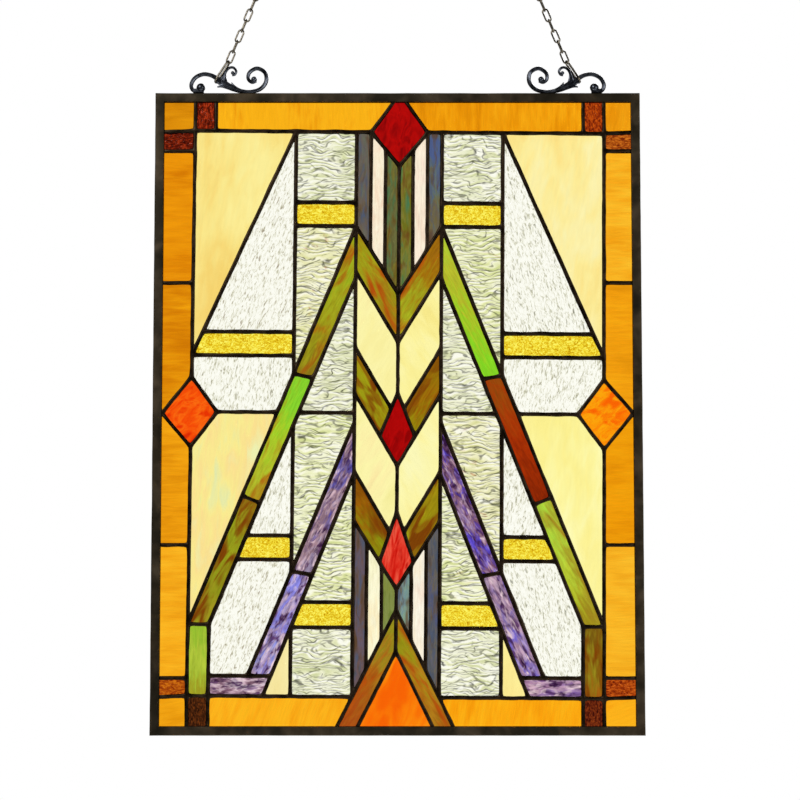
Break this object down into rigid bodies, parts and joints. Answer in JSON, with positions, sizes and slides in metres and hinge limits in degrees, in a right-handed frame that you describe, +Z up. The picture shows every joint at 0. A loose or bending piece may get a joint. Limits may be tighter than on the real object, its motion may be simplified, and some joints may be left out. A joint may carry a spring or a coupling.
{
  "type": "stained glass window panel",
  "caption": "Hanging stained glass window: patterned panes in soldered beads, a mitred channel frame, two scroll brackets, and two chains that meet at one ring.",
  "frame": {"origin": "the point inside the top of the hanging ring where a hook bears", "axes": "+Z up, +X to the viewer's right, and the front faces -Y"},
  "size_m": [0.464, 0.0094, 1.0495],
  "materials": {
    "frame_metal": "dark brown-black patina on a metal channel, satin",
    "solder": "hand-run solder beads with a black patina, uneven satin",
    "bracket_metal": "cast metal, satin black",
    "chain_metal": "gunmetal wire links, lightly worn",
    "amber_glass": "streaky amber art glass",
    "brown_glass": "rippled red-brown glass in amber corners",
    "cream_glass": "wispy cream opalescent glass",
    "clear_glass": "clear hammered glass with a yellow granite bar",
    "ripple_glass": "clear water glass with dark waves and a yellow granite bar",
    "green_glass": "lime, olive and rust streaky glass",
    "purple_glass": "violet glass with white and pink streaks",
    "stripe_glass": "grey, white and olive streaky glass",
    "olive_glass": "olive and rust streaky glass",
    "red_glass": "mottled red glass",
    "orange_glass": "mottled orange glass"
  },
  "bodies": {
    "root": {"border_bottom_left": "amber_glass", "border_bottom_right": "amber_glass", "border_corner_bottom_left": "brown_glass", "border_corner_bottom_right": "brown_glass", "border_corner_top_left": "brown_glass", "border_corner_top_right": "brown_glass", "border_side_lower_left": "amber_glass", "border_side_lower_right": "amber_glass", "border_side_upper_left": "amber_glass", "border_side_upper_right": "amber_glass", "border_top_left": "amber_glass", "border_top_right": "amber_glass", "bracket_left": "bracket_metal", "bracket_right": "bracket_metal", "chain_left": "chain_metal", "chain_right": "chain_metal", "chevron_1": "olive_glass", "chevron_2": "cream_glass", "chevron_3_left": "olive_glass", "chevron_3_right": "olive_glass", "chevron_4": "cream_glass", "chevron_5_left": "olive_glass", "chevron_5_right": "olive_glass", "clear_lower_left": "clear_glass", "clear_lower_right": "clear_glass", "clear_upper_left": "clear_glass", "clear_upper_right": "clear_glass", "cream_lower_left": "cream_glass", "cream_lower_right": "cream_glass", "cream_small_left": "cream_glass", "cream_small_right": "cream_glass", "cream_upper_left": "cream_glass", "cream_upper_right": "cream_glass", "diamond_bottom": "red_glass", "diamond_middle": "red_glass", "diamond_side_left": "orange_glass", "diamond_side_right": "orange_glass", "diamond_top": "red_glass", "frame_bottom": "frame_metal", "frame_left": "frame_metal", "frame_right": "frame_metal", "frame_top": "frame_metal", "green_band_left": "green_glass", "green_band_right": "green_glass", "hang_ring": "chain_metal", "purple_band_left": "purple_glass", "purple_band_right": "purple_glass", "purple_foot_left": "purple_glass", "purple_foot_right": "purple_glass", "pyramid_centre": "orange_glass", "pyramid_legs": "olive_glass", "ripple_lower_left": "ripple_glass", "ripple_lower_right": "ripple_glass", "ripple_middle_left": "ripple_glass", "ripple_middle_right": "ripple_glass", "ripple_upper_left": "ripple_glass", "ripple_upper_right": "ripple_glass", "solder_lattice": "solder", "stripes_bottom": "stripe_glass", "stripes_top": "stripe_glass"}
  },
  "joints": []
}
